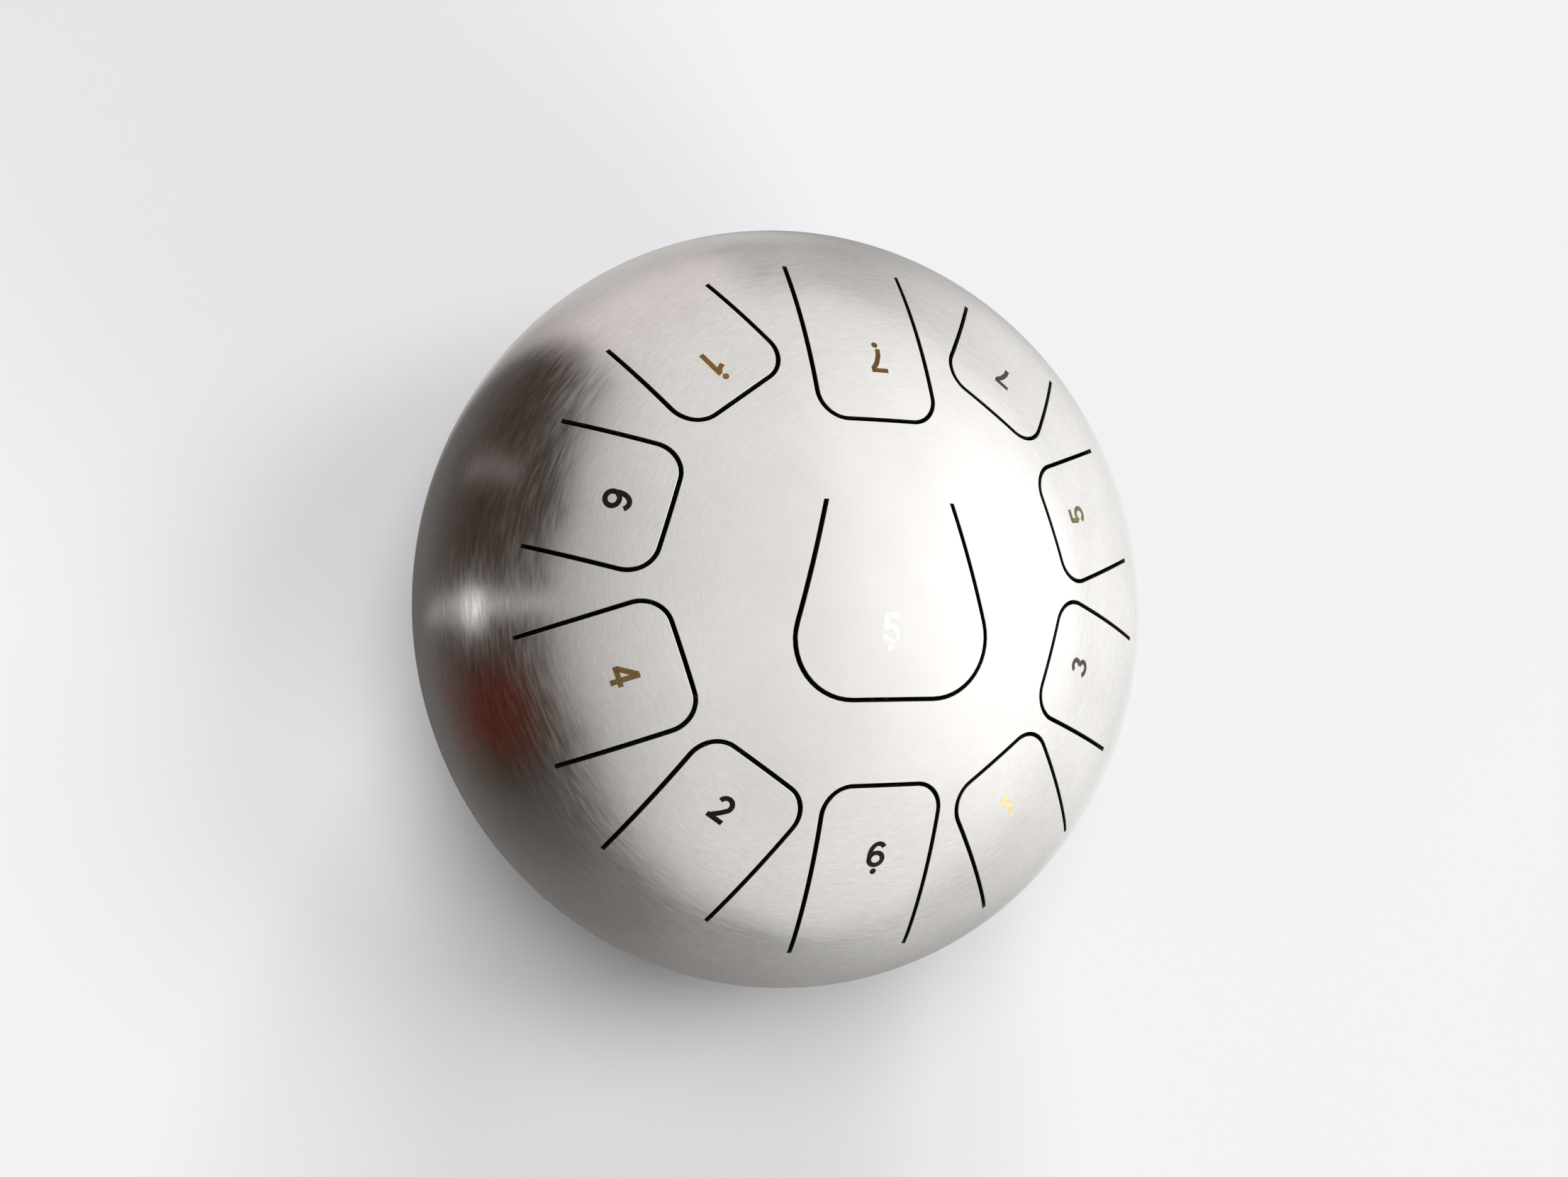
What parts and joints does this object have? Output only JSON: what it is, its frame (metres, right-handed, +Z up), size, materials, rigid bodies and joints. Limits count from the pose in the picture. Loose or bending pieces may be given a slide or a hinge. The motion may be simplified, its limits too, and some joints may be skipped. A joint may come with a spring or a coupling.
{
  "type": "tongue drum",
  "caption": "Small brushed steel tongue drum: two pressed shells welded at the rim, with tuned tongues cut in the top, a sound hole below and screwed rubber feet.",
  "frame": {"origin": "centre of the drum on the plane its feet stand on", "axes": "+Z up along the drum's axis, +Y towards the root of the low seven tongue, +X to the right when the centre tongue's tip points at the player"},
  "size_m": [0.155, 0.155, 0.0866],
  "materials": {
    "shell": "brushed round the drum",
    "tongue": "brushed round the drum",
    "weld": "ground flush and brushed",
    "fastener": "zinc plated",
    "foot_rubber": "matte"
  },
  "bodies": {
    "drum": {"top_shell": "shell", "bottom_shell": "shell", "rim_weld": "weld", "foot_1": "foot_rubber", "foot_2": "foot_rubber", "foot_3": "foot_rubber", "foot_washer_1": "fastener", "foot_washer_2": "fastener", "foot_washer_3": "fastener", "foot_screw_1": "fastener", "foot_screw_2": "fastener", "foot_screw_3": "fastener", "foot_nut_1": "fastener", "foot_nut_2": "fastener", "foot_nut_3": "fastener"},
    "low_5": {"tongue_low_5": "tongue"},
    "low_6": {"tongue_low_6": "tongue"},
    "low_7": {"tongue_low_7": "tongue"},
    "note_1": {"tongue_1": "tongue"},
    "note_2": {"tongue_2": "tongue"},
    "note_3": {"tongue_3": "tongue"},
    "note_4": {"tongue_4": "tongue"},
    "note_5": {"tongue_5": "tongue"},
    "note_6": {"tongue_6": "tongue"},
    "note_7": {"tongue_7": "tongue"},
    "high_1": {"tongue_high_1": "tongue"}
  },
  "joints": [
    {"name": "low_5_flex", "type": "hinge", "parent": "drum", "child": "low_5", "pos_m": [0, 0.01525, 0.08448], "axis": [-1, 0, 0], "range_deg": [-1, 1], "stiffness_Nm_per_rad": 45.2},
    {"name": "low_6_flex", "type": "hinge", "parent": "drum", "child": "low_6", "pos_m": [0, -0.06665, 0.06144], "axis": [1, 0, 0], "range_deg": [-1, 1], "stiffness_Nm_per_rad": 42},
    {"name": "low_7_flex", "type": "hinge", "parent": "drum", "child": "low_7", "pos_m": [0, 0.06275, 0.06469], "axis": [-1, 0, 0], "range_deg": [-1, 1], "stiffness_Nm_per_rad": 52.5},
    {"name": "note_1_flex", "type": "hinge", "parent": "drum", "child": "note_1", "pos_m": [0.03929, -0.05408, 0.06124], "axis": [0.809, 0.5878, 0], "range_deg": [-1, 1], "stiffness_Nm_per_rad": 42.6},
    {"name": "note_2_flex", "type": "hinge", "parent": "drum", "child": "note_2", "pos_m": [-0.03812, -0.05246, 0.06305], "axis": [0.809, -0.5878, 0], "range_deg": [-1, 1], "stiffness_Nm_per_rad": 42.6},
    {"name": "note_3_flex", "type": "hinge", "parent": "drum", "child": "note_3", "pos_m": [0.06015, -0.01955, 0.06431], "axis": [0.309, 0.9511, 0], "range_deg": [-1, 1], "stiffness_Nm_per_rad": 52.7},
    {"name": "note_4_flex", "type": "hinge", "parent": "drum", "child": "note_4", "pos_m": [-0.06006, -0.01951, 0.06439], "axis": [0.309, -0.9511, 0], "range_deg": [-1, 1], "stiffness_Nm_per_rad": 47.3},
    {"name": "note_5_flex", "type": "hinge", "parent": "drum", "child": "note_5", "pos_m": [0.05882, 0.01911, 0.06536], "axis": [-0.309, 0.9511, 0], "range_deg": [-1, 1], "stiffness_Nm_per_rad": 51.2},
    {"name": "note_6_flex", "type": "hinge", "parent": "drum", "child": "note_6", "pos_m": [-0.05882, 0.01911, 0.06536], "axis": [-0.309, -0.9511, 0], "range_deg": [-1, 1], "stiffness_Nm_per_rad": 48.7},
    {"name": "note_7_flex", "type": "hinge", "parent": "drum", "child": "note_7", "pos_m": [0.03735, 0.05141, 0.06408], "axis": [-0.809, 0.5878, 0], "range_deg": [-1, 1], "stiffness_Nm_per_rad": 63.5},
    {"name": "high_1_flex", "type": "hinge", "parent": "drum", "child": "high_1", "pos_m": [-0.03694, 0.05085, 0.06461], "axis": [-0.809, -0.5878, 0], "range_deg": [-1, 1], "stiffness_Nm_per_rad": 65.7}
  ]
}
